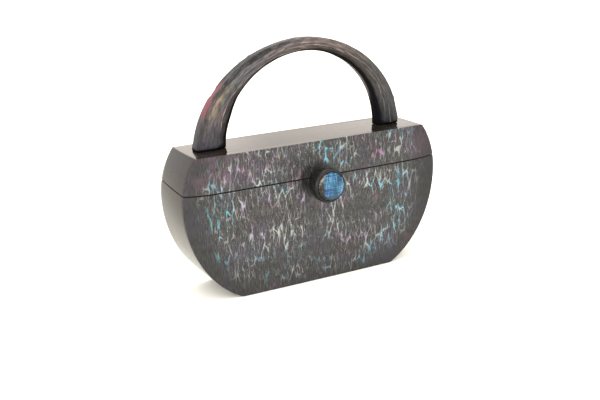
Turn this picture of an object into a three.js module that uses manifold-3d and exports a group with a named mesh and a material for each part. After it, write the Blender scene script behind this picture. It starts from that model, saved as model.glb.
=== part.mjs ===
// A hard wooden handbag: a shallow case with bowed ends, cut by a sloping seam into a tub and a lid.
// The lid carries a carved arch handle and swings on two hinges behind; a turned knob with a cut stone
// stands on the tub's front, just below the seam. Millimetres, +Z up, the front faces -Y, and the
// origin is the middle of the underside.

import * as THREE from "three";
import { mergeVertices } from "three/addons/utils/BufferGeometryUtils.js";
import Module from "manifold-3d";

// Case: the front outline is a flat base, two bowed ends and a flat top
const CASE_HALF_WIDTH = 120;
const CASE_HEIGHT = 122;
const CASE_DEPTH = 52;
const WIDEST_Z = 82;
const TOP_HALF_WIDTH = 107;
const BASE_HALF_WIDTH = 73;
const UPPER_BOW_RISE = 63.5;
const LOWER_BOW_DROP = 89.5;
const BOW_SEGMENTS = 14;

// Case walls: a sawn core with a thin panel glued to its front and another to its back
const CORE_WALL = 6;
const PANEL_THICKNESS = 5.5;
const PANEL_SAGITTA = 1.4;
const PANEL_SEGMENTS = 8;
const GLUE_GAP = 0.1;

// Seam between the tub and the lid: it climbs from front to back, and lifts at both ends
const SEAM_FRONT_Z = 91.5;
const SEAM_SLOPE = 0.064;
const SEAM_GAP = 0.7;
const SEAM_LIFT = 1.9;
const SEAM_LIFT_START = 94;

// Handle: a carved arch between an outer and an inner curve, each a half ellipse whose power squares it up
// or flattens its shoulders. Its two legs differ a little, as carved, and its crown stands to the right.
const HANDLE_OUTER = { left: 96.8, right: 94.6, rise: 82.3, power: 1.87 };
const HANDLE_INNER = { left: 73.5, right: 74.3, rise: 71.9, power: 2 };
const HANDLE_CROWN_SHIFT = 3;
const HANDLE_STATIONS = 36;
const HANDLE_SEAT_GAP = 0.1;
// A row for each carved section, from a foot (turn 0) to the crown (turn 90). Depth is front to back. A
// chamfer takes its share of the section's height off a corner, and the bite is its share of half the depth.
const HANDLE_SECTIONS = [
  { turn: 0, depth: 15, outerChamfer: 0.14, innerChamfer: 0.34, bite: 0.4 },
  { turn: 5, depth: 15, outerChamfer: 0.16, innerChamfer: 0.24, bite: 0.4 },
  { turn: 22, depth: 14.6, outerChamfer: 0.2, innerChamfer: 0.24, bite: 0.42 },
  { turn: 48, depth: 13.6, outerChamfer: 0.25, innerChamfer: 0.26, bite: 0.44 },
  { turn: 72, depth: 12.8, outerChamfer: 0.29, innerChamfer: 0.28, bite: 0.46 },
  { turn: 90, depth: 12.5, outerChamfer: 0.3, innerChamfer: 0.28, bite: 0.46 },
];

// Knob: turned on the lathe, its neck glued to the tub's front; the lid's face clears the neck
const KNOB_Z = SEAM_FRONT_Z - 3.2;
const KNOB_FACE_GAP = 0.3;
const KNOB_SEGMENTS = 32;
const KNOB_PROFILE = [
  { out: 0, radius: 8 },
  { out: 2.5, radius: 8.2 },
  { out: 5, radius: 9.6 },
  { out: 7, radius: 12 },
  { out: 10, radius: 13.4 },
  { out: 15, radius: 14.4 },
  { out: 18.5, radius: 14.5 },
  { out: 20.5, radius: 13.8 },
  { out: 21.8, radius: 12.5 },
];
const SETTING_RADIUS = 11.7;
const SETTING_DEPTH = 2.2;

// Stone: a girdle, two rows of facets and a flat table
const STONE_GAP = 0.2;
const STONE_FACETS = 12;
const STONE_PROFILE = [
  { up: 0, radius: 11.4 },
  { up: 2.3, radius: 11.4 },
  { up: 3.3, radius: 9.4 },
  { up: 3.9, radius: 6.2 },
];

// Hinges: two plain butt hinges on the back, their pins fixed in the tub's leaves
const HINGE_X = 62;
const HINGE_LENGTH = 28;
const HINGE_FACE_GAP = 0.1;
const LEAF_THICKNESS = 1;
const LEAF_HEIGHT = 11;
const LEAF_CLEARANCE = 0.4;
const KNUCKLE_RADIUS = 2.2;
const KNUCKLE_GAP = 0.3;
const KNUCKLE_SEGMENTS = 24;
const LID_KNUCKLE_LENGTH = 10;
const PIN_RADIUS = 1;
const PIN_CLEARANCE = 0.09;

const FINISHES = {
  caseBlack: { color: 0x2c2a29, roughness: 0.3, metalness: 0 },
  crackle: { color: 0x4d4946, roughness: 0.5, metalness: 0 },
  carvedWood: { color: 0x4a4341, roughness: 0.35, metalness: 0 },
  knobBlack: { color: 0x1b1919, roughness: 0.25, metalness: 0 },
  blueStone: { color: 0x3f7fb8, roughness: 0.12, metalness: 0 },
  brass: { color: 0xa08048, roughness: 0.35, metalness: 1 },
};

const wasm = await Module();
wasm.setup();

function solidOf(geometry) {
  const bare = geometry.clone();
  bare.deleteAttribute("normal");
  bare.deleteAttribute("uv");
  const merged = mergeVertices(bare, 1e-4);
  return new wasm.Manifold(
    new wasm.Mesh({
      numProp: 3,
      vertProperties: new Float32Array(merged.attributes.position.array),
      triVerts: new Uint32Array(merged.index.array),
    }),
  );
}

function geometryOf(solid) {
  const { vertProperties, triVerts } = solid.getMesh();
  const indexed = new THREE.BufferGeometry();
  indexed.setAttribute("position", new THREE.BufferAttribute(vertProperties, 3));
  indexed.setIndex(new THREE.BufferAttribute(triVerts, 1));
  const flat = indexed.toNonIndexed();
  flat.computeVertexNormals();
  return flat;
}

function piece(name, geometry, finish) {
  const mesh = new THREE.Mesh(geometry, new THREE.MeshStandardMaterial(FINISHES[finish]));
  mesh.name = name;
  return mesh;
}

// An outline drawn in X and Z, extruded front to back and centred on the case
function extrudeFrontToBack(outline, depth, curveSegments) {
  const geometry = new THREE.ExtrudeGeometry(outline, { depth, curveSegments, bevelEnabled: false });
  return geometry.rotateX(Math.PI / 2).translate(0, depth / 2, 0);
}

// A bow is a quarter of an ellipse; its half width follows from the width it has lost at the outline's end
function bowReach(lostWidth, height, semiHeight) {
  return lostWidth / (1 - Math.sqrt(1 - (height / semiHeight) ** 2));
}

function caseOutline(path, inset) {
  const upperReach = bowReach(CASE_HALF_WIDTH - TOP_HALF_WIDTH, CASE_HEIGHT - WIDEST_Z, UPPER_BOW_RISE);
  const lowerReach = bowReach(CASE_HALF_WIDTH - BASE_HALF_WIDTH, WIDEST_Z, LOWER_BOW_DROP);
  const upperX = CASE_HALF_WIDTH - upperReach;
  const lowerX = CASE_HALF_WIDTH - lowerReach;
  const upper = [upperReach - inset, UPPER_BOW_RISE - inset];
  const lower = [lowerReach - inset, LOWER_BOW_DROP - inset];
  const topTurn = Math.asin((CASE_HEIGHT - inset - WIDEST_Z) / upper[1]);
  const baseTurn = Math.asin((WIDEST_Z - inset) / lower[1]);
  const baseX = lowerX + lower[0] * Math.cos(baseTurn);
  path.moveTo(-baseX, inset);
  path.lineTo(baseX, inset);
  path.absellipse(lowerX, WIDEST_Z, ...lower, -baseTurn, 0, false);
  path.absellipse(upperX, WIDEST_Z, ...upper, 0, topTurn, false);
  path.absellipse(-upperX, WIDEST_Z, ...upper, Math.PI - topTurn, Math.PI, false);
  path.absellipse(-lowerX, WIDEST_Z, ...lower, Math.PI, Math.PI + baseTurn, false);
  return path;
}

// All the space above the seam, moved up by the offset
function spaceAboveSeam(offset) {
  const end = CASE_HALF_WIDTH + 6;
  const endShare = (end - SEAM_LIFT_START) / (CASE_HALF_WIDTH - SEAM_LIFT_START);
  const z = SEAM_FRONT_Z + offset;
  const endZ = z + SEAM_LIFT * endShare ** 2;
  const bendX = (SEAM_LIFT_START + end) / 2;
  const shape = new THREE.Shape();
  shape.moveTo(-end, endZ);
  shape.quadraticCurveTo(-bendX, z, -SEAM_LIFT_START, z);
  shape.lineTo(SEAM_LIFT_START, z);
  shape.quadraticCurveTo(bendX, z, end, endZ);
  shape.lineTo(end, 2 * CASE_HEIGHT);
  shape.lineTo(-end, 2 * CASE_HEIGHT);
  const geometry = extrudeFrontToBack(shape, 2 * CASE_DEPTH, PANEL_SEGMENTS);
  const climb = new THREE.Matrix4().makeShear(0, 0, 0, SEAM_SLOPE, 0, 0);
  return solidOf(geometry.translate(0, CASE_DEPTH / 2, 0).applyMatrix4(climb).translate(0, -CASE_DEPTH / 2, 0));
}

// The front panel before it is sawn: the case's outline, flat inside and slightly bowed outside
function panelBlank() {
  const reach = CASE_HALF_WIDTH + 1;
  const middleY = CASE_DEPTH / 2;
  const endY = middleY - PANEL_SAGITTA * (reach / CASE_HALF_WIDTH) ** 2;
  const plan = new THREE.Shape();
  plan.moveTo(-reach, PANEL_THICKNESS - middleY);
  plan.lineTo(-reach, -endY);
  plan.quadraticCurveTo(0, endY - 2 * middleY, reach, -endY);
  plan.lineTo(reach, PANEL_THICKNESS - middleY);
  const slab = new THREE.ExtrudeGeometry(plan, {
    depth: CASE_HEIGHT + 2,
    curveSegments: PANEL_SEGMENTS,
    bevelEnabled: false,
  }).translate(0, 0, -1);
  const outline = extrudeFrontToBack(caseOutline(new THREE.Shape(), 0), 2 * CASE_DEPTH, BOW_SEGMENTS);
  return solidOf(outline).intersect(solidOf(slab));
}

function coreBlank() {
  const ring = caseOutline(new THREE.Shape(), 0);
  ring.holes.push(caseOutline(new THREE.Path(), CORE_WALL));
  const depth = CASE_DEPTH - 2 * (PANEL_THICKNESS + GLUE_GAP);
  return solidOf(extrudeFrontToBack(ring, depth, BOW_SEGMENTS));
}

function casePieces() {
  const lidSpace = spaceAboveSeam(SEAM_GAP / 2);
  const notTub = spaceAboveSeam(-SEAM_GAP / 2);
  const front = panelBlank();
  const blanks = [
    { part: "core", blank: coreBlank(), finish: "caseBlack" },
    { part: "front", blank: front, finish: "crackle" },
    { part: "back", blank: front.rotate([0, 0, 180]), finish: "crackle" },
  ];
  return blanks.flatMap(({ part, blank, finish }) => [
    piece(`tub_${part}`, geometryOf(blank.subtract(notTub)), finish),
    piece(`lid_${part}`, geometryOf(blank.intersect(lidSpace)), finish),
  ]);
}

// A closed skin through rings of equal count, each ring a list of points, with a flat cap at both ends
function loft(rings) {
  const count = rings[0].length;
  const index = [];
  for (let r = 0; r + 1 < rings.length; r++) {
    for (let i = 0; i < count; i++) {
      const next = (i + 1) % count;
      const [a, b] = [r * count + i, r * count + next];
      const [c, d] = [a + count, b + count];
      index.push(a, b, d, a, d, c);
    }
  }
  const last = (rings.length - 1) * count;
  for (let i = 1; i + 1 < count; i++) {
    index.push(0, i + 1, i);
    index.push(last, last + i, last + i + 1);
  }
  const geometry = new THREE.BufferGeometry().setFromPoints(rings.flat());
  geometry.setIndex(index);
  return geometry.toNonIndexed();
}

// The handle's section at a turn from its nearer foot, read between the rows of the table
function handleSection(turn) {
  const after = HANDLE_SECTIONS.findIndex((row) => row.turn >= turn);
  const high = HANDLE_SECTIONS[Math.max(after, 1)];
  const low = HANDLE_SECTIONS[Math.max(after, 1) - 1];
  const share = (turn - low.turn) / (high.turn - low.turn);
  const read = (column) => THREE.MathUtils.lerp(low[column], high[column], share);
  return {
    halfDepth: read("depth") / 2,
    outer: read("outerChamfer"),
    inner: read("innerChamfer"),
    bite: read("bite"),
  };
}

function archPoint(arch, angle) {
  const across = Math.cos(angle);
  const up = Math.abs(Math.sin(angle)) ** (2 / arch.power);
  const halfSpan = across < 0 ? arch.left : arch.right;
  const x = Math.sign(across) * halfSpan * Math.abs(across) ** (2 / arch.power);
  return new THREE.Vector2(x + (HANDLE_CROWN_SHIFT * up * arch.rise) / HANDLE_OUTER.rise, arch.rise * up);
}

function handle() {
  const rings = [];
  for (let s = 0; s <= HANDLE_STATIONS; s++) {
    const angle = (Math.PI * s) / HANDLE_STATIONS;
    const outer = archPoint(HANDLE_OUTER, angle);
    const inner = archPoint(HANDLE_INNER, angle);
    const turn = THREE.MathUtils.radToDeg(Math.min(angle, Math.PI - angle));
    const section = handleSection(turn);
    const straight = 1 - section.bite;
    const corners = [
      [1, -straight],
      [1, straight],
      [1 - section.outer, 1],
      [section.inner, 1],
      [0, straight],
      [0, -straight],
      [section.inner, -1],
      [1 - section.outer, -1],
    ];
    rings.push(
      corners.map(([height, side]) => {
        const at = inner.clone().lerp(outer, height);
        return new THREE.Vector3(at.x, side * section.halfDepth, at.y);
      }),
    );
  }
  const mesh = piece("handle", loft(rings), "carvedWood");
  mesh.position.z = CASE_HEIGHT + HANDLE_SEAT_GAP;
  return mesh;
}

// A turned solid whose axis points out of the front, from a table of places along the axis
function turned(points, segments) {
  return new THREE.LatheGeometry(points, segments).rotateX(Math.PI);
}

function knobPieces() {
  const last = KNOB_PROFILE.at(-1);
  const floorOut = last.out - SETTING_DEPTH;
  const outline = [
    new THREE.Vector2(0, 0),
    ...KNOB_PROFILE.map(({ out, radius }) => new THREE.Vector2(radius, out)),
    new THREE.Vector2(SETTING_RADIUS, last.out),
    new THREE.Vector2(SETTING_RADIUS, floorOut),
    new THREE.Vector2(0, floorOut),
  ];
  const stoneOutline = [
    new THREE.Vector2(0, 0),
    ...STONE_PROFILE.map(({ up, radius }) => new THREE.Vector2(radius, up)),
    new THREE.Vector2(0, STONE_PROFILE.at(-1).up),
  ];
  const knob = piece("knob", turned(outline, KNOB_SEGMENTS), "knobBlack");
  const stone = piece("knob_stone", turned(stoneOutline, STONE_FACETS), "blueStone");
  knob.position.set(0, -CASE_DEPTH / 2 - KNOB_FACE_GAP, KNOB_Z);
  stone.position.copy(knob.position);
  stone.position.y -= floorOut + STONE_GAP;
  return [knob, stone];
}

function knuckle(length, x, radius) {
  const geometry = new THREE.CylinderGeometry(radius, radius, length, KNUCKLE_SEGMENTS);
  return solidOf(geometry.rotateZ(Math.PI / 2).translate(x, 0, 0));
}

function plate(length, height, centreZ) {
  const geometry = new THREE.BoxGeometry(length, LEAF_THICKNESS, height);
  return solidOf(geometry.translate(0, LEAF_THICKNESS / 2 - KNUCKLE_RADIUS, centreZ));
}

// One leaf about its pin: a plate above (rise 1) or below (rise -1) the pin, tongues to its knuckles
function leaf(rise, knuckles) {
  const clear = KNUCKLE_RADIUS + LEAF_CLEARANCE;
  let solid = plate(HINGE_LENGTH, LEAF_HEIGHT, rise * (clear + LEAF_HEIGHT / 2));
  for (const { x, length } of knuckles) {
    const tongue = plate(length, clear + 1, (rise * (clear + 1)) / 2).translate([x, 0, 0]);
    solid = solid.add(tongue).add(knuckle(length, x, KNUCKLE_RADIUS));
  }
  return solid;
}

function hingePieces() {
  const outerLength = (HINGE_LENGTH - LID_KNUCKLE_LENGTH) / 2 - KNUCKLE_GAP;
  const outerX = (HINGE_LENGTH - outerLength) / 2;
  const pin = knuckle(HINGE_LENGTH, 0, PIN_RADIUS);
  const bore = knuckle(HINGE_LENGTH, 0, PIN_RADIUS + PIN_CLEARANCE);
  const tubLeaf = leaf(-1, [
    { x: -outerX, length: outerLength },
    { x: outerX, length: outerLength },
  ]).add(pin);
  const lidLeaf = leaf(1, [{ x: 0, length: LID_KNUCKLE_LENGTH }]).subtract(bore);
  const axisY = CASE_DEPTH / 2 + HINGE_FACE_GAP + KNUCKLE_RADIUS;
  const axisZ = SEAM_FRONT_Z + SEAM_SLOPE * CASE_DEPTH;
  return [
    { side: "left", x: -HINGE_X },
    { side: "right", x: HINGE_X },
  ].flatMap(({ side, x }) => {
    const leaves = [
      piece(`hinge_${side}_tub_leaf`, geometryOf(tubLeaf), "brass"),
      piece(`hinge_${side}_lid_leaf`, geometryOf(lidLeaf), "brass"),
    ];
    leaves.forEach((mesh) => mesh.position.set(x, axisY, axisZ));
    return leaves;
  });
}

const handbag = new THREE.Group();
handbag.add(...casePieces(), handle(), ...knobPieces(), ...hingePieces());

export default handbag;
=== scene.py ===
"""A hard wooden handbag: lacquered case, crackled panels, carved handle, stone-set knob and brass hinges."""

import math

import bmesh
import bpy
from mathutils import Matrix, Vector


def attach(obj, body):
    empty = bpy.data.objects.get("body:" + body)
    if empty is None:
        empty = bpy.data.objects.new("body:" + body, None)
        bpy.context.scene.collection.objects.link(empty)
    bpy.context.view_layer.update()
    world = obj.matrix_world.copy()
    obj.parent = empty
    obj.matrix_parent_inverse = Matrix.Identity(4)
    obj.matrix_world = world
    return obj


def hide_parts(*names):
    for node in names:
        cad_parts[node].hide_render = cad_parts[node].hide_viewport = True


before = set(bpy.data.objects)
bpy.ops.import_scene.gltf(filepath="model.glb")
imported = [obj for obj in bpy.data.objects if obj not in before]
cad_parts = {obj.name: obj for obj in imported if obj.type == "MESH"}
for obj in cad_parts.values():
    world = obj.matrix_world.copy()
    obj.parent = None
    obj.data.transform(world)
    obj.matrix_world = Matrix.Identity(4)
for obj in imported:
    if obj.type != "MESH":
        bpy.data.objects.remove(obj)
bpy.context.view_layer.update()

MM = 0.001

# Case, in millimetres
CASE_HALF_WIDTH = 120
CASE_HEIGHT = 122
CASE_DEPTH = 52
WIDEST_Z = 82
TOP_HALF_WIDTH = 107
BASE_HALF_WIDTH = 73
UPPER_BOW_RISE = 63.5
LOWER_BOW_DROP = 89.5
CORE_WALL = 6
CORE_HALF_DEPTH = 20.45
PANEL_SAGITTA = 1.4
BASE_LINE_DROP = 8

# How far the bowed ends belly out, and the heights between which that grows
END_BELLY = 0.8
BELLY_START_Z = 50
BELLY_FULL_Z = 80

# Steps that the case's meshes are cut into
BOW_STEPS = 44
BELLY_CUTS = 7
PANEL_COLUMNS = 60
TUB_ROWS = 28
LID_ROWS = 9

# Rounds in which the place of a point on the rim or on a panel settles
RIM_ROUNDS = 3
PANEL_ROUNDS = 4

# Softened edges
END_ROUND = 2.0
SEAM_ROUND = 0.4
BASE_CORNER_ROUND = 1.4
TOP_CORNER_ROUND = 0.7
HANDLE_FOOT_ROUND = 0.7
STONE_EDGE_ROUND = 0.12
LEAF_ROUND = 0.2
TONGUE_ROUND = 0.1
KNUCKLE_ROUND = 0.25

# How near a line an edge or a face lies to be taken, and the least that an edge runs
EDGE_REACH = 0.3
CORNER_REACH_X = 0.5
CORNER_REACH_Z = 0.1
FOOT_REACH = 0.2
OUTSIDE_REACH = 2
LEAST_RUN = 3

# How steep the corners are that get softened, in degrees
FACET_CORNER = 8
SLIGHT_CORNER = 15
CLEAR_CORNER = 40
FOOT_CORNER = 50

# How squarely a face looks a given way, where 1 is straight that way
FACING_UP = 0.8
FACING_OUT = 0.8
FACING_DEPTH = 0.7
SIDEWAYS = 0.5
NEARLY_FLAT = 0.98

# How near two points are to count as one, in metres
SAME_PLACE = 1e-6

# Places of the finishes in the pieces' lists
CORE_SATIN, CORE_BARE, CORE_POLISHED = range(3)
PANEL_PAINT, PANEL_SATIN, PANEL_BARE, PANEL_POLISHED = range(4)
SCREW_FINISH = 1

# Seam between the tub and the lid
SEAM_FRONT_Z = 91.5
SEAM_SLOPE = 0.064
SEAM_GAP = 0.9
SEAM_LIFT = 1.9
SEAM_LIFT_START = 94

# Handle: the arch's outer and inner curves, and the carved section along it
HANDLE_OUTER = {"left": 97.5, "right": 94.6, "rise": 82.3, "power": 1.925}
HANDLE_INNER = {"left": 72.9, "right": 73.4, "rise": 71.3, "power": 2}
HANDLE_CROWN_SHIFT = 3
HANDLE_SEAT_Z = CASE_HEIGHT + 0.1
HANDLE_STATIONS = 96
HANDLE_LENGTH = 270
CROWN_DEPTH = 12.5
FOOT_EXTRA_DEPTH = 2.5
FOOT_DEPTH_POWER = 1.3
CHIP_DEGREES = 5
RIDGE_REACH = 0.6
RIDGE_SOFTENING = 0.4

# Knob and stone, out from the tub's front
KNOB_Z = SEAM_FRONT_Z - 3.2
KNOB_BACK_Y = -CASE_DEPTH / 2 - 0.3
KNOB_TURNS = 96
STONE_FACETS = 12
STONE_SEAT = 21

# Hinges on the back
HINGE_X = 62
HINGE_AXIS_Y = 28.3
HINGE_AXIS_Z = 94.828
HINGE_LENGTH = 28
LEAF_HEIGHT = 11
LEAF_THICKNESS = 1
LEAF_START = 2.6
TONGUE_OVERLAP = 0.6
KNUCKLE_RADIUS = 2.2
KNUCKLE_SIDES = 32
LID_KNUCKLE = 10
KNUCKLE_GAP = 0.3

# Hinge screws: the row's share of the leaf's height, and each screw's place along it and above it
SCREW_ROW = 0.55
SCREW_PLACES = [(-9, -1), (0, 2), (9, -1)]
SCREW_RADIUS = 1.7
SCREW_TAPER = 0.45
SCREW_HEIGHT = 0.6
SCREW_LIFT = 0.1
SCREW_SIDES = 24
SLOT_HALF_WIDTH = 0.22
SLOT_DEPTH = 0.35
SLOT_TILT = 35
SLOT_TILT_SPREAD = 40

# Camera, fitted to the photograph
CAMERA_AZIMUTH = -28.297
CAMERA_ELEVATION = 17.055
CAMERA_ROLL = -1.664
CAMERA_DISTANCE = 0.78132
CAMERA_TARGET = Vector((-0.003475, 0, 0.065177))
FOCAL_PIXELS = 904.296
IMAGE_WIDTH = 600
SENSOR_WIDTH = 36
CLIP_START = 0.01
CLIP_END = 60

# Studio, in metres: the white tent from below to overhead, and its brighter or warmer patches
FLOOR_HALF_WIDTH = 12
FLOOR_COLOR = (0.97, 0.945, 0.86, 1.0)
TENT_STOPS = [
    (0.0, (1.14, 1.13, 1.11, 1.0)),
    (0.5, (1.7, 1.67, 1.64, 1.0)),
    (1.0, (2.3, 2.27, 2.22, 1.0)),
]
# Each patch: its direction, the cosines at its rim and where it is full, and its light
TENT_PATCHES = [
    (Vector((0.45, 0.9, 0.25)).normalized(), (0.95, 0.985), (1.7, 1.57, 1.45, 1.0)),
    (Vector((0.28, 0.96, 0.25)).normalized(), (0.985, 0.9985), (2.8, 2.58, 2.36, 1.0)),
    (Vector((-0.52, 0.84, 0.16)).normalized(), (0.9, 0.99), (1.85, 1.81, 1.77, 1.0)),
]
# Each softbox: its name, place, aim, size and power
SOFTBOXES = [
    ("front_softbox", (-0.2, -1.4, 0.9), (0, 0, 0.1), (1.0, 0.8), 6),
    ("left_softbox", (-1.1, -0.35, 0.35), (-0.1, 0, 0), (0.7, 0.5), 4),
]


# Shader nodes

class Shade:
    """One output of a material's nodes. Operators on it add Math nodes, and add() adds any other node."""

    def __init__(self, tree, socket=None):
        self.tree = tree
        self.socket = socket

    def add(self, kind, settings=None, sockets=None, out=0):
        node = self.tree.nodes.new("ShaderNode" + kind)
        for key, value in (settings or {}).items():
            if key == "stops":
                set_stops(node.color_ramp, value)
            else:
                setattr(node, key, value)
        for key, value in (sockets or {}).items():
            self.feed(node.inputs[key], value)
        return Shade(self.tree, node.outputs[out])

    def feed(self, target, value):
        if isinstance(value, Shade):
            self.tree.links.new(value.socket, target)
        else:
            target.default_value = value

    def math(self, operation, first, second=0.0):
        return self.add("Math", {"operation": operation}, {0: first, 1: second})

    def __add__(self, other):
        return self.math("ADD", self, other)

    __radd__ = __add__

    def __sub__(self, other):
        return self.math("SUBTRACT", self, other)

    def __rsub__(self, other):
        return self.math("SUBTRACT", other, self)

    def __mul__(self, other):
        return self.math("MULTIPLY", self, other)

    __rmul__ = __mul__

    def __truediv__(self, other):
        return self.math("DIVIDE", self, other)

    def most(self, other):
        return self.math("MAXIMUM", self, other)

    def rise(self, low, high):
        """0 below low, 1 above high, smooth between; high may be the smaller."""
        settings = {"interpolation_type": "SMOOTHSTEP"}
        return self.add("MapRange", settings, {"Value": self, "From Min": low, "From Max": high})

    def blend(self, first, second):
        """The first colour where this value is 0 and the second where it is 1."""
        settings = {"data_type": "RGBA", "clamp_factor": True}
        return self.add("Mix", settings, {0: self, 6: first, 7: second}, out=2)

    def ramp(self, stops):
        return self.add("ValToRGB", {"stops": stops}, {0: self})

    def place(self):
        return self.add("TexCoord", out="Object")

    def attribute(self, name):
        return self.add("Attribute", {"attribute_name": name}, out="Fac")

    def axis(self, name):
        """One axis of the place on the piece, in millimetres."""
        return self.add("SeparateXYZ", {}, {0: self.place()}, out=name) / MM

    def face_place(self, shift):
        """Across and up on a panel, in millimetres."""
        across = self.axis("X") + shift[0]
        up = self.axis("Z") + shift[1]
        return self.add("CombineXYZ", {}, {"X": across, "Y": up, "Z": 0.0})

    def mapped(self, vector, scale, shift=(0, 0, 0)):
        return self.add("Mapping", {}, {"Vector": vector, "Scale": scale, "Location": shift})

    def noise(self, vector, scale, shift=(0, 0, 0), detail=2.0, out=0):
        """Noise with its own scale along each axis. Output 0 is a value and output 1 a colour."""
        place = self.mapped(vector, scale, shift)
        sockets = {"Vector": place, "Scale": 1.0, "Detail": detail, "Roughness": 0.5}
        return self.add("TexNoise", {"noise_dimensions": "3D"}, sockets, out)

    def pushed(self, vector, push, amount):
        """A vector moved by a noise colour, by up to half the amount each way."""
        centred = self.add("VectorMath", {"operation": "SUBTRACT"}, {0: push, 1: (0.5, 0.5, 0.5)})
        scaled = self.add("VectorMath", {"operation": "MULTIPLY"}, {0: centred, 1: amount})
        return self.add("VectorMath", {"operation": "ADD"}, {0: vector, 1: scaled})

    def distance(self, vector, place):
        return self.add("VectorMath", {"operation": "DISTANCE"}, {0: vector, 1: place}, out="Value")

    def toward(self, vector, direction):
        return self.add("VectorMath", {"operation": "DOT_PRODUCT"}, {0: vector, 1: direction}, out="Value")

    def cell_web(self, vector):
        """High on the edges between cells and highest where several edges meet."""
        near = {"voronoi_dimensions": "2D", "feature": "F1"}
        soft = {"voronoi_dimensions": "2D", "feature": "SMOOTH_F1"}
        sharp_cells = self.add("TexVoronoi", near, {"Vector": vector, "Scale": 1.0})
        soft_cells = self.add("TexVoronoi", soft, {"Vector": vector, "Scale": 1.0, "Smoothness": 0.6})
        return sharp_cells - soft_cells

    def bump(self, height, distance):
        return self.add("Bump", {}, {"Height": height, "Distance": distance, "Strength": 1.0})


def set_stops(color_ramp, stops):
    while len(color_ramp.elements) < len(stops):
        color_ramp.elements.new(1.0)
    for element, (position, color) in zip(color_ramp.elements, stops):
        element.position = position
        element.color = color


def rgb(red, green, blue):
    """A screen colour, 0 to 255 each, as the linear colour that shaders use."""
    def linear(value):
        share = value / 255
        return share / 12.92 if share <= 0.04045 else ((share + 0.055) / 1.055) ** 2.4
    return (linear(red), linear(green), linear(blue), 1.0)


def new_material(name):
    material = bpy.data.materials.new(name)
    material.use_nodes = True
    material.node_tree.nodes.clear()
    return material, Shade(material.node_tree)


def show_surface(material, shade, surface):
    output = material.node_tree.nodes.new("ShaderNodeOutputMaterial")
    shade.feed(output.inputs["Surface"], surface)
    return material


def finish_material(material, shade, sockets):
    return show_surface(material, shade, shade.add("BsdfPrincipled", {}, sockets))


# Finishes

def lacquer(name, shine, least_rough):
    """Black-brown lacquer over close grain that runs across the bag."""
    material, s = new_material(name)
    place = s.place()
    streaks = s.noise(place, (30, 900, 500), detail=4)
    clouds = s.noise(place, (25, 60, 40))
    base = streaks.rise(0.3, 0.75).blend(rgb(24, 20, 17), rgb(46, 39, 33))
    haze = clouds.rise(0.3, 0.8)
    return finish_material(material, s, {
        "Base Color": base,
        "Roughness": least_rough + 0.05 * haze,
        "IOR": 1.37,
        "Specular IOR Level": shine,
        "Normal": s.bump(streaks, 0.0001),
    })


PAINT_STOPS = [
    (0.34, rgb(86, 162, 176)),
    (0.43, rgb(124, 168, 188)),
    (0.50, rgb(166, 169, 162)),
    (0.57, rgb(150, 143, 166)),
    (0.67, rgb(160, 114, 138)),
]


def crackle_lines(s, flat, inward):
    """The web of painted lines: bold and thin ones, blots in clusters, and a halo round the bold ones."""
    drift = s.noise(flat, (1 / 26, 1 / 30, 1), out=1)
    wiggle = s.noise(flat, (1 / 5, 1 / 6, 1), (3, 8, 0), out=1)
    ragged = s.noise(flat, (1 / 1.4, 1 / 1.8, 1), (6, 2, 0), detail=1, out=1)
    bent = s.pushed(s.pushed(flat, drift, (7, 12, 0)), wiggle, (3.6, 4.0, 0))
    bent = s.pushed(bent, ragged, (1.1, 1.6, 0))
    bold = s.cell_web(s.mapped(bent, (1 / 5.0, 1 / 22, 1)))
    thin = s.cell_web(s.mapped(bent, (1 / 2.6, 1 / 16, 1), (5, 3, 0)))
    patches = s.noise(flat, (1 / 24, 1 / 30, 1), (5, 9, 0))
    breaks = s.noise(flat, (1 / 3.5, 1 / 8, 1), (2, 1, 0))
    blots = s.noise(bent, (1 / 2.4, 1 / 3, 1), (7, 7, 0))
    return {
        "bold": bold.rise(0.034, 0.066) * breaks.rise(0.38, 0.54) * patches.rise(0.36, 0.56) * inward,
        "thin": thin.rise(0.035, 0.07) * breaks.rise(0.4, 0.56) * patches.rise(0.3, 0.55) * inward,
        "clusters": blots.rise(0.58, 0.7) * patches.rise(0.52, 0.64) * inward,
        "halo": bold.rise(0.0, 0.06) * patches.rise(0.48, 0.64) * inward,
    }


def crackle_ground(s, flat, rim, inward, grain):
    """The dark wood between the lines: grained, tinted violet and rose, with pale hairs and specks."""
    height = s.axis("Z")
    hairs = s.noise(flat, (1 / 0.5, 1 / 9, 1), (9, 4, 0), detail=3)
    specks = s.noise(flat, (1 / 0.8, 1 / 2.6, 1), (4, 4, 0), detail=1)
    violet = s.noise(flat, (1 / 32, 1 / 32, 1), (4, 2, 0), detail=1)
    rose = s.noise(flat, (1 / 17, 1 / 22, 1), (8, 5, 0))
    ground = grain.rise(0.34, 0.66).blend(rgb(20, 20, 20), rgb(62, 61, 60))
    ground = (0.45 * violet.rise(0.42, 0.66)).blend(ground, rgb(56, 51, 66))
    ground = (0.4 * rose.rise(0.62, 0.76)).blend(ground, rgb(108, 66, 90))
    lid_ends = height.rise(90, 99) * rim.rise(44, 16)
    ground = (0.7 * lid_ends * rose.rise(0.34, 0.6) * grain.rise(0.3, 0.6)).blend(ground, rgb(94, 70, 88))
    ground = ((0.14 + 0.18 * inward) * hairs.rise(0.53, 0.62)).blend(ground, rgb(104, 103, 103))
    return (0.45 * specks.rise(0.62, 0.72) * inward).blend(ground, rgb(146, 142, 132))


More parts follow.
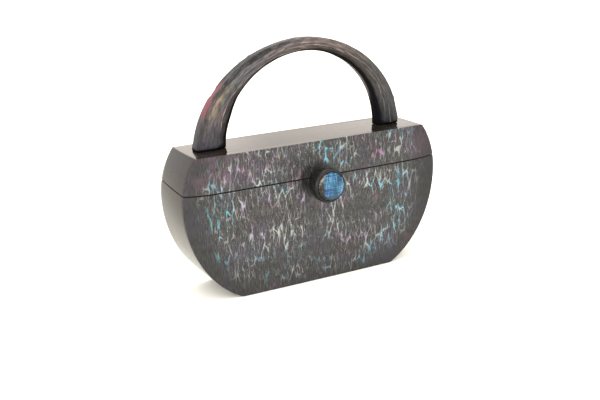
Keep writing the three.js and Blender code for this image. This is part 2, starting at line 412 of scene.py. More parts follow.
def crackle_darkening_and_shade(s, flat, shift, rim, knob_shade):
    """How dark the panel is drawn: a painted shadow round the knob, painted shade at the right end and on the
    lid's right half, and darker towards the base and near both ends.
    """
    across = s.axis("X")
    height = s.axis("Z")
    # Painted shadow of the knob on the panel round its foot
    from_knob = s.distance(flat, (shift[0] - 1, shift[1] + KNOB_Z + 1, 0))
    # Darker near both ends, with painted shade at the right end and on the lid's right half
    ends = (0.35 * rim.rise(34, 4)).most(0.6 * across.rise(78, 116))
    ends = ends.most(0.24 * across.rise(6, 40) * height.rise(92, 100))
    return (knob_shade * from_knob.rise(18.5, 13)).most(0.22 * height.rise(50, 0)).most(ends)


def crackle(name, shift, knob_shade):
    """Dark grained panel under a broken web of pearly paint lines, with a painted shadow round the knob."""
    material, s = new_material(name)
    flat = s.face_place(shift)
    rim = s.attribute("rim")
    inward = rim.rise(4, 30)
    lines = crackle_lines(s, flat, inward)
    paint = s.noise(flat, (1 / 34, 1 / 40, 1), (1, 8, 0), detail=1.5).ramp(PAINT_STOPS)
    grain = s.noise(flat, (1 / 0.6, 1 / 5, 1), detail=3)
    color = crackle_ground(s, flat, rim, inward, grain)
    color = (0.22 * lines["halo"]).most(0.5 * lines["clusters"]).blend(color, paint)
    color = (0.62 * lines["thin"]).blend(color, rgb(146, 146, 143))
    color = (0.9 * lines["bold"]).blend(color, paint)
    # Painted shadow and shade, with the darker base and ends, drawn towards near black
    color = crackle_darkening_and_shade(s, flat, shift, rim, knob_shade).blend(color, rgb(14, 14, 14))
    raised = lines["bold"].most(0.6 * lines["thin"])
    return finish_material(material, s, {
        "Base Color": color,
        "Roughness": 0.44 - 0.1 * raised,
        "Metallic": 0.2 * raised,
        "IOR": 1.4,
        "Normal": s.bump(0.7 * raised + 0.3 * grain, 0.0003),
    })


# The handle's stain and its worn ridges, from the right foot over the crown to the left foot
STAIN_STOPS = [
    (0.04, rgb(102, 104, 113)),
    (0.22, rgb(118, 110, 106)),
    (0.42, rgb(134, 119, 115)),
    (0.58, rgb(132, 125, 125)),
    (0.72, rgb(133, 133, 136)),
    (0.88, rgb(130, 124, 122)),
    (0.98, rgb(114, 110, 120)),
]
WORN_STOPS = [
    (0.2, rgb(146, 138, 132)),
    (0.45, rgb(192, 162, 152)),
    (0.8, rgb(208, 174, 164)),
]


def carved_stain(s, run, along, left_leg):
    """The stain's colour, which turns along the handle, with violet and rosy patches on the left leg."""
    hue = s.noise(s.place(), (60, 60, 60), (7, 3, 5))
    tints = s.noise(run, (1 / 11, 1 / 3, 1 / 3), (2, 9, 4), detail=3)
    stain = (along + 0.24 * (hue - 0.5)).ramp(STAIN_STOPS)
    stain = (0.6 * left_leg * tints.rise(0.48, 0.64)).blend(stain, rgb(106, 98, 122))
    rosy = left_leg * along.rise(0.96, 0.9) * tints.rise(0.48, 0.36)
    return (0.6 * rosy).blend(stain, rgb(158, 122, 120))


def carved_level(s, run, along, left_leg, fibres, strokes):
    """How light the carving is: by face and grain, with painted shade right at the feet, darker towards the
    feet and in blotches on the left arm.
    """
    outward = s.attribute("outward")
    blotches = s.noise(run, (1 / 10, 1 / 5, 1 / 5), (4, 6, 0), detail=3)
    # Painted shade where the feet meet the lid
    feet = along.rise(0.02, 0.0).most(along.rise(0.98, 1.0))
    softness = 0.5 - 0.2 * left_leg
    grained = (1 - softness * fibres.rise(0.6, 0.34)) * (0.6 + 0.4 * strokes.rise(0.38, 0.58))
    # Each face's tone from the mesh, partly painted shade by the way the face looks
    level = 0.64 * s.attribute("tone") * grained
    level = level * (1 - 0.8 * feet) * (1 - 0.45 * along.rise(0.16, 0.0))
    level = level * (1 - 0.35 * along.rise(0.84, 0.96))
    upper_left = along.rise(0.5, 0.6) * along.rise(0.88, 0.76) * outward.rise(7, 10)
    level = level * (1 - 0.7 * upper_left * blotches.rise(0.46, 0.6))
    return level * (1 - 0.55 * left_leg * blotches.rise(0.56, 0.66))


def carved_wear(s, run, along):
    """Where the ridges and the crown are worn pale, in streaks."""
    streaks = s.noise(run, (1 / 13, 1 / 1.0, 1 / 1.0), (1, 5, 0))
    crown = along.rise(0.26, 0.4) * along.rise(0.7, 0.56) * s.attribute("tone").rise(0.3, 0.6)
    ridges = s.attribute("ridge").rise(0.1, 0.9) * (0.15 + 0.85 * streaks.rise(0.44, 0.58))
    return ridges.most(0.6 * crown * streaks.rise(0.6, 0.68))


def carved_hollow_shade(s, along, left_leg, right_arm):
    """Where painted shade makes the handle matt black without reflection: its inner faces, crisp on the right
    arm and left leg, and its soles.
    """
    inside = s.attribute("hollow")
    left_arm = along.rise(0.6, 0.72) * along.rise(0.98, 0.92)
    soft_edge = inside.rise(0.1, 0.8)
    crisp_edge = inside.rise(0.52, 0.78)
    crispness = (right_arm * along.rise(0.03, 0.13)).most(left_leg * along.rise(0.975, 0.915))
    strength = 0.9 - 0.4 * left_arm * (1 - left_leg)
    hollow = (soft_edge + crispness * (crisp_edge - soft_edge)) * strength
    # Painted shadow along the soles where they sit on the lid
    return hollow.most(along.rise(0.0095, 0.0065)).most(along.rise(0.9905, 0.9935))


def carved_wood():
    """Dark stained handle: grey-brown faces, painted shade in matt black on the inner faces and soles, worn
    ridges, one side rubbed pink and olive.
    """
    material, s = new_material("carved_wood")
    along = s.attribute("along")
    left_leg = along.rise(0.77, 0.86)
    right_arm = along.rise(0.46, 0.36)
    sockets = {"X": along * HANDLE_LENGTH, "Y": s.axis("Y"), "Z": s.attribute("outward")}
    run = s.add("CombineXYZ", {}, sockets)
    fibres = s.noise(run, (1 / 7, 1 / 0.5, 1 / 0.5), detail=4)
    strokes = s.noise(run, (1 / 9, 1 / 1.8, 1 / 1.8), (3, 1, 2), detail=4)
    dents = s.noise(run, (1 / 12, 1 / 8, 1 / 8), (8, 2, 0), detail=1)
    level = carved_level(s, run, along, left_leg, fibres, strokes)
    color = level.blend(rgb(11, 10, 11), carved_stain(s, run, along, left_leg))
    blush = s.attribute("blush").rise(0.1, 0.7) * (0.5 + 0.5 * strokes.rise(0.36, 0.54))
    color = (0.8 * blush).blend(color, rgb(118, 54, 62))
    color = (0.6 * s.attribute("olive") * strokes.rise(0.36, 0.56)).blend(color, rgb(146, 134, 96))
    color = (0.7 * carved_wear(s, run, along)).blend(color, along.ramp(WORN_STOPS))
    waxed = s.add("BsdfPrincipled", {}, {
        "Base Color": color,
        "Roughness": 0.36 + 0.14 * strokes,
        "IOR": 1.45,
        "Specular IOR Level": 0.22,
        "Normal": s.bump(0.5 * dents + 0.3 * strokes + 0.2 * fibres, 0.001),
    })
    # Painted shade: near black with no reflection, for the inner faces and soles
    dark = fibres.rise(0.3, 0.7).blend(rgb(24, 23, 24), rgb(40, 38, 40))
    shade_black = s.add("BsdfPrincipled", {}, {
        "Base Color": right_arm.most(left_leg).blend(dark, rgb(13, 12, 15)),
        "Roughness": 1.0,
        "Specular IOR Level": 0.0,
    })
    hollow = carved_hollow_shade(s, along, left_leg, right_arm)
    return show_surface(material, s, s.add("MixShader", {}, {0: hollow, 1: waxed, 2: shade_black}))


def knob_black():
    """Turned black wood, polished, with faint lathe lines."""
    material, s = new_material("knob_black")
    place = s.place()
    rings = s.noise(place, (60, 1800, 60))
    pores = s.noise(place, (900, 220, 900), detail=3)
    figure = s.noise(place, (260, 420, 260), detail=3)
    base = pores.rise(0.35, 0.7).blend(rgb(6, 6, 6), rgb(18, 17, 17))
    base = (0.6 * figure.rise(0.54, 0.68)).blend(base, rgb(52, 47, 42))
    return finish_material(material, s, {
        "Base Color": base,
        "Roughness": 0.3 + 0.1 * pores,
        "IOR": 1.4,
        "Specular IOR Level": 0.4,
        "Normal": s.bump(rings, 0.00005),
    })


def blue_stone():
    """Polished stone whose blue flash, in fine level bands, is painted sheen with painted highlights; dull at
    one side, with a painted highlight on its upper-left bevel.
    """
    material, s = new_material("blue_stone")
    flat = s.face_place((0, -KNOB_Z))
    bend = s.noise(flat, (1 / 5, 1 / 5, 1), out=1)
    bent = s.pushed(flat, bend, (1.6, 0.8, 0))
    bands = s.noise(bent, (1 / 18, 1 / 1.1, 1))
    lamellae = s.noise(bent, (1 / 0.75, 1 / 14, 1), (2, 1, 0))
    # Painted highlights: the blue flash is brighter towards the upper left and near the right edge
    near_top = s.distance(bent, (-5, 5, 0)).rise(10, 2)
    near_edge = s.distance(bent, (10, -3, 0)).rise(8, 2)
    painted_flash_highlight = near_top.most(0.8 * near_edge)
    across = s.add("SeparateXYZ", {}, {0: bent}, out="X")
    fields = s.noise(bent, (1 / 7, 1 / 5, 1), (3, 4, 0), detail=1)
    blue = (bands + 0.09 + 0.17 * painted_flash_highlight).ramp([
        (0.44, rgb(10, 30, 42)),
        (0.54, rgb(18, 56, 82)),
        (0.64, rgb(46, 98, 138)),
        (0.84, rgb(92, 152, 186)),
    ])
    blue = (0.6 * fields.rise(0.46, 0.62)).blend(blue, rgb(20, 70, 92))
    blue = (0.4 * fields.rise(0.46, 0.34)).blend(blue, rgb(48, 82, 148))
    blue = (0.6 * lamellae.rise(0.5, 0.6)).blend(blue, rgb(14, 44, 62))
    blue = (0.5 * lamellae.rise(0.42, 0.34)).blend(blue, rgb(122, 172, 196))
    clouds = s.noise(flat, (1 / 2, 1 / 2, 1), detail=3)
    dull = clouds.rise(0.35, 0.65).blend(rgb(16, 16, 16), rgb(46, 43, 40))
    # Painted highlight where the stone's upper-left bevel catches the light
    painted_edge_highlight = s.toward(flat, (-0.75, 0.66, 0)).rise(8.6, 11.4) * (0.6 + 0.4 * clouds.rise(0.4, 0.6))
    dull = (0.85 * painted_edge_highlight).blend(dull, rgb(124, 118, 104))
    flashing = across.rise(-9, -5.5) * s.distance(flat, (1.2, 1.0, 0)).rise(11.6, 10.6)
    color = flashing.blend(dull, blue)
    return finish_material(material, s, {
        "Base Color": color,
        "Roughness": 0.12 + 0.1 * lamellae,
        "Metallic": 0.3 * bands.rise(0.4, 0.6),
        "IOR": 1.5,
        "Specular IOR Level": 0.35,
    })


def aged_brass(name, clean, dull):
    """Plain brass, dulled, with brushed lines and faint darker clouds."""
    material, s = new_material(name)
    place = s.place()
    brushed = s.noise(place, (80, 900, 1600), detail=3)
    tarnish = s.noise(place, (160, 160, 160), detail=4)
    pits = s.noise(place, (1500, 1500, 1500), detail=1)
    base = tarnish.rise(0.3, 0.75).blend(clean, dull)
    base = (0.5 * pits.rise(0.62, 0.74)).blend(base, rgb(70, 54, 34))
    return finish_material(material, s, {
        "Base Color": base,
        "Roughness": 0.3 + 0.16 * brushed,
        "Metallic": 1.0,
        "Normal": s.bump(brushed, 0.00005),
    })


def inside_wood():
    """Bare dark wood inside the case, with grain across the bag."""
    material, s = new_material("inside_wood")
    place = s.place()
    bend = s.noise(place, (12, 30, 30), out=1)
    bent = s.pushed(place, bend, (0.0, 0.012, 0.012))
    grain = s.noise(bent, (16, 320, 320), detail=5)
    pores = s.noise(place, (110, 1600, 1600))
    base = grain.rise(0.3, 0.7).blend(rgb(20, 17, 15), rgb(44, 36, 30))
    base = (0.5 * pores.rise(0.58, 0.7)).blend(base, rgb(16, 12, 10))
    return finish_material(material, s, {
        "Base Color": base,
        "Roughness": 0.5 + 0.15 * grain,
        "Normal": s.bump(grain, 0.0001),
    })


def floor_paper():
    material, s = new_material("floor_paper")
    return finish_material(material, s, {"Base Color": FLOOR_COLOR, "Roughness": 0.9})


# Mesh helpers

def point(x, y, z):
    """A place in millimetres as a vector in metres."""
    return Vector((x, y, z)) * MM


def share_past(value, start, full=1):
    """0 up to the start, 1 from the full value on, and even between."""
    return min(1.0, max(0.0, (value - start) / (full - start)))


def corner_edges(bm, degrees, chosen):
    """Edges whose two faces meet at more than an angle and whose middle, in millimetres, is chosen."""
    found = []
    for edge in bm.edges:
        if len(edge.link_faces) == 2 and edge.calc_face_angle() > math.radians(degrees):
            middle = (edge.verts[0].co + edge.verts[1].co) / 2 / MM
            if chosen(middle, edge):
                found.append(edge)
    return found


def soften(bm, edges, radius, segments):
    bmesh.ops.bevel(bm, geom=edges, offset=radius * MM, offset_type="OFFSET", segments=segments,
                    profile=0.5, affect="EDGES", material=-1, clamp_overlap=True)


def make_piece(bm, name, materials, body, replaces, sharp_degrees=32):
    """Ends a piece: smooth faces with sharp corners, its finishes, and its place in the assembly."""
    bm.normal_update()
    for face in bm.faces:
        face.smooth = True
    for edge in bm.edges:
        if len(edge.link_faces) == 2:
            edge.smooth = edge.calc_face_angle() < math.radians(sharp_degrees)
    mesh = bpy.data.meshes.new(name)
    bm.to_mesh(mesh)
    bm.free()
    for material in materials:
        mesh.materials.append(material)
    piece = bpy.data.objects.new(name, mesh)
    bpy.context.scene.collection.objects.link(piece)
    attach(piece, body)
    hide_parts(*replaces)
    return piece


# Case outline

def bow_ellipse(lost_width, height, rise):
    reach = lost_width / (1 - math.sqrt(1 - (height / rise) ** 2))
    return CASE_HALF_WIDTH - reach, reach, rise


UPPER_BOW = bow_ellipse(CASE_HALF_WIDTH - TOP_HALF_WIDTH, CASE_HEIGHT - WIDEST_Z, UPPER_BOW_RISE)
LOWER_BOW = bow_ellipse(CASE_HALF_WIDTH - BASE_HALF_WIDTH, WIDEST_Z, LOWER_BOW_DROP)


def half_width(z, inset=0):
    centre, reach, rise = UPPER_BOW if z >= WIDEST_Z else LOWER_BOW
    share = (z - WIDEST_Z) / (rise - inset)
    return centre + (reach - inset) * math.sqrt(max(0, 1 - share * share))


def in_case(z):
    """A height, kept between the base and the top."""
    return min(max(z, 0.0), CASE_HEIGHT)


def end_belly(y, z):
    """How far the bowed ends belly out: most at mid depth and high up, none at the front, back and base."""
    share = share_past(z, BELLY_START_Z, BELLY_FULL_Z)
    return END_BELLY * share * share * (3 - 2 * share) * (1 - (2 * y / CASE_DEPTH) ** 2)


def bow_turn(z, inset):
    rise = (UPPER_BOW if z >= WIDEST_Z else LOWER_BOW)[2]
    return math.asin((z - WIDEST_Z) / (rise - inset))


def bow_points(low, high, inset):
    """Points (x, z) up the right-hand end from one height to another, close where it bends."""
    first, last = bow_turn(low, inset), bow_turn(high, inset)
    points = []
    for step in range(BOW_STEPS + 1):
        turn = first + (last - first) * step / BOW_STEPS
        rise = (UPPER_BOW if turn >= 0 else LOWER_BOW)[2]
        z = WIDEST_Z + (rise - inset) * math.sin(turn)
        points.append((half_width(z, inset), z))
    return points


def seam_z(x, y):
    past = max(0, abs(x) - SEAM_LIFT_START) / (CASE_HALF_WIDTH - SEAM_LIFT_START)
    return SEAM_FRONT_Z + SEAM_SLOPE * (y + CASE_DEPTH / 2) + SEAM_LIFT * past ** 2


def rim_z(part, x, y):
    """The height of the tub's or the lid's own edge at the seam."""
    return seam_z(x, y) + (SEAM_GAP / 2 if part == "lid" else -SEAM_GAP / 2)


def rim_end(part, y, inset):
    """Where the tub's or lid's edge meets the right-hand end."""
    x = CASE_HALF_WIDTH - inset
    for _ in range(RIM_ROUNDS):
        z = rim_z(part, x, y)
        x = half_width(z, inset)
    return x, z


# Case pieces

def core_profile(part, y):
    """The core's closed section (x, z): outside from left to right, then inside back again."""
    outer_end = rim_end(part, y, 0)
    inner_end = rim_end(part, y, CORE_WALL)
    if part == "tub":
        outer = bow_points(0, outer_end[1], 0)
        inner = bow_points(CORE_WALL, inner_end[1], CORE_WALL)
    else:
        outer = bow_points(outer_end[1], CASE_HEIGHT, 0)[::-1]
        inner = bow_points(inner_end[1], CASE_HEIGHT - CORE_WALL, CORE_WALL)[::-1]
    outside = [(-x, z) for x, z in outer[::-1]] + outer
    inside = inner[::-1] + [(-x, z) for x, z in inner]
    return outside + inside


def round_outer_corners(bm, part):
    """Rounds the edges that run back where the bowed ends meet the tub's base or the lid's top."""
    if part == "tub":
        corner_x, corner_z, radius = BASE_HALF_WIDTH, 0, BASE_CORNER_ROUND
    else:
        corner_x, corner_z, radius = TOP_HALF_WIDTH, CASE_HEIGHT, TOP_CORNER_ROUND

    def at_corner(middle, edge):
        runs_back = abs(edge.verts[0].co.y - edge.verts[1].co.y) > LEAST_RUN * MM
        near_x = abs(abs(middle.x) - corner_x) < CORNER_REACH_X
        return runs_back and near_x and abs(middle.z - corner_z) < CORNER_REACH_Z

    soften(bm, corner_edges(bm, SLIGHT_CORNER, at_corner), radius, segments=3)


def belly_ends(bm):
    """Cuts the core from front to back and moves the outside of its bowed ends out."""
    long_edges = []
    for edge in bm.edges:
        if abs(edge.verts[0].co.y - edge.verts[1].co.y) > CORE_HALF_DEPTH * MM:
            long_edges.append(edge)
    bmesh.ops.subdivide_edges(bm, edges=long_edges, cuts=BELLY_CUTS, use_grid_fill=True)
    for vert in bm.verts:
        x, y, z = vert.co / MM
        if abs(x) > half_width(in_case(z)) - CORE_WALL / 2:
            vert.co.x += math.copysign(end_belly(y, z), x) * MM


def core_finish(face):
    """Polished on the top, satin elsewhere outside and bare inside."""
    middle = face.calc_center_median() / MM
    at_end = abs(middle.x) > half_width(in_case(middle.z)) - OUTSIDE_REACH
    at_level = middle.z < OUTSIDE_REACH or middle.z > CASE_HEIGHT - OUTSIDE_REACH
    if abs(face.normal.y) >= FACING_DEPTH or not (at_end or at_level):
        return CORE_BARE
    return CORE_POLISHED if face.normal.z > FACING_UP else CORE_SATIN


def core(part, finishes):
    """The ring of the tub or the lid: its front section, drawn back to the other section."""
    bm = bmesh.new()
    order = bm.verts.layers.int.new("order")
    front = core_profile(part, -CORE_HALF_DEPTH)
    back = core_profile(part, CORE_HALF_DEPTH)
    verts = [bm.verts.new(point(x, -CORE_HALF_DEPTH, z)) for x, z in front]
    for index, vert in enumerate(verts):
        vert[order] = index
    edges = [bm.edges.new((verts[i - 1], verts[i])) for i in range(len(verts))]
    bmesh.ops.contextual_create(bm, geom=edges)
    grown = bmesh.ops.extrude_face_region(bm, geom=bm.faces[:], use_keep_orig=True)["geom"]
    for vert in grown:
        if isinstance(vert, bmesh.types.BMVert):
            x, z = back[vert[order]]
            vert.co = point(x, CORE_HALF_DEPTH, z)
    bmesh.ops.recalc_face_normals(bm, faces=bm.faces[:])
    round_outer_corners(bm, part)
    belly_ends(bm)
    for face in bm.faces:
        face.material_index = core_finish(face)
    return make_piece(bm, f"{part}_frame", finishes, part, [f"{part}_core"])


def face_depth(x):
    """How far a panel's face is from the middle of the case: it bows out between the ends."""
    return CASE_DEPTH / 2 - PANEL_SAGITTA * (x / CASE_HALF_WIDTH) ** 2


def panel_place(part, side, y, across, up):
    """A point of a panel: across is -1 to 1 between the ends, up is 0 to 1 from its lower edge."""
    z = SEAM_FRONT_Z
    for _ in range(PANEL_ROUNDS):
        x = across * half_width(z)
        depth = y if y is not None else side * face_depth(x)
        edge = rim_z(part, x, depth)
        low, high = (0, edge) if part == "tub" else (edge, CASE_HEIGHT)
        z = low + (high - low) * up
    return x + across * end_belly(depth, z), depth, z


def outline_distance(x, z):
    """About how far a point of a panel is in from the bag's ends, or up from a line under its base."""
    slope = (half_width(min(z + 1, CASE_HEIGHT)) - half_width(max(z - 1, 0))) / 2
    to_end = (half_width(z) - abs(x)) / math.sqrt(1 + slope * slope)
    return max(0.0, min(to_end, z + BASE_LINE_DROP))


def from_seam(part, middle):
    """How far a place is above or below the tub's or the lid's own edge at the seam."""
    return abs(middle.z - rim_z(part, middle.x, middle.y))


def soften_panel(bm, part):
    """Rounds a panel's face along the bowed ends, and a little along the seam."""
    def on_face(middle):
        return abs(middle.y) > CASE_DEPTH / 2 - PANEL_SAGITTA - EDGE_REACH

    def at_seam(middle, edge):
        return on_face(middle) and from_seam(part, middle) < EDGE_REACH

    def at_end(middle, edge):
        at_level = middle.z < EDGE_REACH or middle.z > CASE_HEIGHT - EDGE_REACH
        return on_face(middle) and not at_level and not at_seam(middle, edge)

    round_outer_corners(bm, part)
    soften(bm, corner_edges(bm, CLEAR_CORNER, at_end), END_ROUND, segments=4)
    soften(bm, corner_edges(bm, CLEAR_CORNER, at_seam), SEAM_ROUND, segments=2)


def panel_finish(face, part, side):
    """Painted on the face, bare inside and at the seam, polished on the top and satin at the other edges."""
    middle = face.calc_center_median() / MM
    facing = face.normal.y * side
    inner = facing < -FACING_DEPTH
    seam_side = abs(facing) < SIDEWAYS and from_seam(part, middle) < EDGE_REACH
    seam_round = facing < NEARLY_FLAT and from_seam(part, middle) < SEAM_ROUND
    if inner or seam_side or seam_round:
        return PANEL_BARE
    if facing > FACING_OUT:
        return PANEL_PAINT
    return PANEL_POLISHED if face.normal.z > FACING_UP else PANEL_SATIN


def panel(part, side, finishes):
    """A thin panel in front of the core (side -1) or behind it (side 1)."""
    where = "front" if side < 0 else "back"
    bm = bmesh.new()
    across = bm.verts.layers.float.new("across")
    up = bm.verts.layers.float.new("up")
    rows = TUB_ROWS if part == "tub" else LID_ROWS
    bmesh.ops.create_grid(bm, x_segments=PANEL_COLUMNS, y_segments=rows, size=1)
    for vert in bm.verts:
        vert[across] = vert.co.x
        vert[up] = (vert.co.y + 1) / 2
        vert.co = point(*panel_place(part, side, None, vert[across], vert[up]))
    grown = bmesh.ops.extrude_face_region(bm, geom=bm.faces[:], use_keep_orig=True)["geom"]
    for vert in grown:
        if isinstance(vert, bmesh.types.BMVert):
            vert.co = point(*panel_place(part, side, side * CORE_HALF_DEPTH, vert[across], vert[up]))
    bmesh.ops.recalc_face_normals(bm, faces=bm.faces[:])
    soften_panel(bm, part)
    rim = bm.verts.layers.float.new("rim")
    for vert in bm.verts:
        vert[rim] = outline_distance(vert.co.x / MM, in_case(vert.co.z / MM))
    for face in bm.faces:
        face.material_index = panel_finish(face, part, side)
    return make_piece(bm, f"{part}_{where}_panel", finishes, part, [f"{part}_{where}"])


# Handle

# Corners round the carved section, for the left leg, the crown and the right leg
SECTION_CORNERS = [
    ((1, 1, 1), (-0.76, -0.5, -0.55)),
    ((1, 1, 1), (0.55, 0.5, 0.55)),
    ((0.84, 0.7, 0.84), (0.95, 0.93, 0.95)),
    ((0.5, 0.48, 0.5), (1, 1, 1)),
    ((0.24, 0.26, 0.24), (0.94, 0.93, 0.94)),
    ((0, 0, 0), (0.55, 0.55, 0.55)),
    ((0, 0, 0), (-0.42, -0.55, -0.6)),
    ((0.21, 0.18, 0.38), (-0.97, -0.92, -0.92)),
    ((0.55, 0.42, 0.58), (-1, -1, -1)),
    ((0.92, 0.66, 0.78), (-0.97, -0.93, -0.86)),
]
INNER_CORNERS = (5, 6)
BACK_INNER_CORNER = 5
FRONT_INNER_CORNER = 7

# How far the cuts wander and chip, as shares of the section: ridges on its faces, then its edges
RIDGE_WANDER = 0.04
RIDGE_CHIP = 0.035
RIDGE_SIDE_CHIP = 0.02
EDGE_CHIP = 0.006
EDGE_SIDE_WANDER = 0.1
EDGE_SIDE_CHIP = 0.03
SIDE_SEED = 20

# Cuts and flares, as shares of the section, and the cosines on the arch where those at the feet start
FOOT_FLARE = 0.035
FLARE_START = 0.985
FLARED_HEIGHT = 0.9
HEEL_CUT = 0.16
HEEL_START = 0.9985
LEFT_STEP = 0.12
SHOULDER_CUT = 0.08
LEFT_SPREAD = 0.055
SPREAD_START = 0.83
SPREAD_FULL = 0.93

# How pale each corner is worn, for the same three places
CORNER_WEAR = [
    (0.2, 0.4, 0.3),
    (0.3, 0.3, 0.3),
    (0.5, 0.5, 0.5),
    (0.6, 0.6, 0.6),
    (0.4, 0.4, 0.4),
    (0.1, 0.1, 0.1),
    (0.1, 0.1, 0.1),
    (1.0, 0.7, 0.8),
    (0.15, 0.6, 0.7),
    (0.15, 0.6, 0.4),
]

# How light each face of the section is, from one corner to the next, for the same three places: partly the
# stain, partly painted shade by the way each face looks
FACE_TONES = [
    (0.35, 0.8, 0.35),
    (0.4, 0.5, 0.4),
    (0.7, 0.6, 0.6),
    (0.7, 0.6, 0.6),
    (0.3, 0.4, 0.5),
    (0.16, 0.2, 0.16),
    (0.6, 0.22, 0.7),
    (0.8, 0.45, 0.6),
    (0.95, 0.65, 0.5),
    (0.45, 0.9, 0.45),
]
# Painted shade on the inner faces, and the tone that painted light brings one stretch of them up to
INNER_DARKNESS = 0.75
INSIDE_TONE = 0.8
BLUSH_FACE = 0
OLIVE_FACE = 8
SHADED_FACES = (9, 0)
SHADED_DARKNESS = 0.7

# Places on the arch, in degrees, as middle and spread: a step, rubbed colour, shade, a lit inner face
STEPPED = (150, 14)
RUBBED = (150, 10)
SHADED = (118, 20)
LIT_INSIDE = (40, 22)

# Where the front inner ridge is bare of wear, and how far
BARE_PLACES = [((68, 24), 0.8), ((176, 13), 0.85), ((0, 13), 0.7)]

HANDLE_LAYERS = ("ridge", "along", "outward", "tone", "blush", "olive", "hollow")


def arch_point(arch, angle):
    across = math.cos(angle)
    up = abs(math.sin(angle)) ** (2 / arch["power"])
    half_span = arch["left"] if across < 0 else arch["right"]
    x = math.copysign(half_span * abs(across) ** (2 / arch["power"]), across)
    return Vector((x + HANDLE_CROWN_SHIFT * up * arch["rise"] / HANDLE_OUTER["rise"], arch["rise"] * up))


def wander(turn, seed):
    """A slow wobble along the handle, between about -1 and 1, as a hand leaves it."""
    return 0.6 * math.sin(turn * 3.1 + seed * 2.4) + 0.4 * math.sin(turn * 7.3 + seed * 5.1)


def chipped(turn, seed):
    """An uneven carved edge, between -1 and 1: straight cuts between points that jump about."""
    place = math.degrees(turn) / CHIP_DEGREES + seed * 0.37
    first = math.floor(place)
    ends = []
    for cut in (first, first + 1):
        jump = math.sin(cut * 12.9898 + seed * 78.233) * 43758.5453
        ends.append(2 * (jump - math.floor(jump)) - 1)
    return ends[0] + (ends[1] - ends[0]) * (place - first)


def leg_shares(angle):
    """How much a place on the arch belongs to the left leg, the crown and the right leg."""
    across = math.cos(angle)
    return max(0.0, -across) ** 2, math.sin(angle) ** 2, max(0.0, across) ** 2


def window(angle, middle, spread):
    """1 at a place on the arch and 0 well away from it, in degrees."""
    return math.exp(-((math.degrees(angle) - middle) / spread) ** 2)


def mixed(values, angle):
    return sum(value * share for value, share in zip(values, leg_shares(angle)))


def handle_section(angle):
    """The carved section's corners: share of the height from inner to outer, and of the half depth."""
    upright = abs(math.cos(angle))
    spread = LEFT_SPREAD * share_past(-math.cos(angle), SPREAD_START, SPREAD_FULL)
    corners = []
    for index, (heights, sides) in enumerate(SECTION_CORNERS):
        height = mixed(heights, angle)
        side = mixed(sides, angle)
        side_chip = chipped(angle, index + SIDE_SEED)
        if 0 < height < 1:
            height += RIDGE_WANDER * wander(angle, index) + RIDGE_CHIP * chipped(angle, index)
            side *= 1 + RIDGE_SIDE_CHIP * side_chip
        else:
            height += EDGE_CHIP * chipped(angle, index)
            if index in INNER_CORNERS:
                height -= spread
            side *= 1 + EDGE_SIDE_WANDER * wander(angle, index) + EDGE_SIDE_CHIP * side_chip
        if height > FLARED_HEIGHT:
            height += FOOT_FLARE * share_past(upright, FLARE_START)
        corners.append([height, side])
    step = LEFT_STEP * window(angle, *STEPPED)
    corners[FRONT_INNER_CORNER][0] += HEEL_CUT * share_past(upright, HEEL_START) + step
    corners[FRONT_INNER_CORNER][0] += SHOULDER_CUT * math.sin(2 * angle) ** 2
    return corners


def handle_depth(angle):
    return CROWN_DEPTH + FOOT_EXTRA_DEPTH * abs(math.cos(angle)) ** FOOT_DEPTH_POWER


def handle_ring(angle):
    """Points round one section: each carved corner is three, its ridge and a little to either side."""
    outer = arch_point(HANDLE_OUTER, angle)
    inner = arch_point(HANDLE_INNER, angle)
    half_depth = handle_depth(angle) / 2
    corners = []
    for height, side in handle_section(angle):
        at = inner.lerp(outer, height)
        corners.append(Vector((at.x, side * half_depth, at.y + HANDLE_SEAT_Z)))
    ring = []
    for index, corner in enumerate(corners):
        before = corners[index - 1]
        after = corners[(index + 1) % len(corners)]
        back = corner + (before - corner).normalized() * RIDGE_REACH
        ahead = corner + (after - corner).normalized() * RIDGE_REACH
        ridge = corner.lerp((back + ahead) / 2, RIDGE_SOFTENING)
        ring += [back, ridge, ahead]
    return ring


def ridge_wear(angle, corner):
    wear = mixed(CORNER_WEAR[corner], angle)
    if corner == FRONT_INNER_CORNER:
        for place, bareness in BARE_PLACES:
            wear *= 1 - bareness * window(angle, *place)
    return wear


def ring_values(angle, index):
    """What the finish reads at one point of a section, which has three points at each corner."""
    corner, step = divmod(index, 3)
    face = (corner - 1) % len(FACE_TONES) if step == 0 else corner
    lit = window(angle, *LIT_INSIDE) if corner == BACK_INNER_CORNER else 0.0
    rubbed = window(angle, *RUBBED)
    tone = mixed(FACE_TONES[face], angle)
    # Painted shade on the inner faces, painted light on one stretch of them, and painted shade where the arm
    # looks up and left
    if corner in INNER_CORNERS:
        tone *= 1 - INNER_DARKNESS
    tone += (INSIDE_TONE - tone) * lit
    if face in SHADED_FACES:
        tone *= 1 - SHADED_DARKNESS * window(angle, *SHADED)
    return {
        "ridge": ridge_wear(angle, corner) if step == 1 else 0.0,
        "along": angle / math.pi,
        "tone": tone,
        "blush": rubbed if face == BLUSH_FACE else 0.0,
        "olive": rubbed if face == OLIVE_FACE and step == 0 else 0.0,
        "hollow": 1 - lit if corner in INNER_CORNERS else 0.0,
    }


def set_ring(verts, order, layers, angle):
    """Moves the points of one section into place and gives them what the finish reads."""
    ring = handle_ring(angle)
    inner = arch_point(HANDLE_INNER, angle)
    for vert in verts:
        index = vert[order]
        place = ring[index]
        vert.co = place * MM
        vert[layers["outward"]] = (Vector((place.x, place.z - HANDLE_SEAT_Z)) - inner).length
        for name, value in ring_values(angle, index).items():
            vert[layers[name]] = value


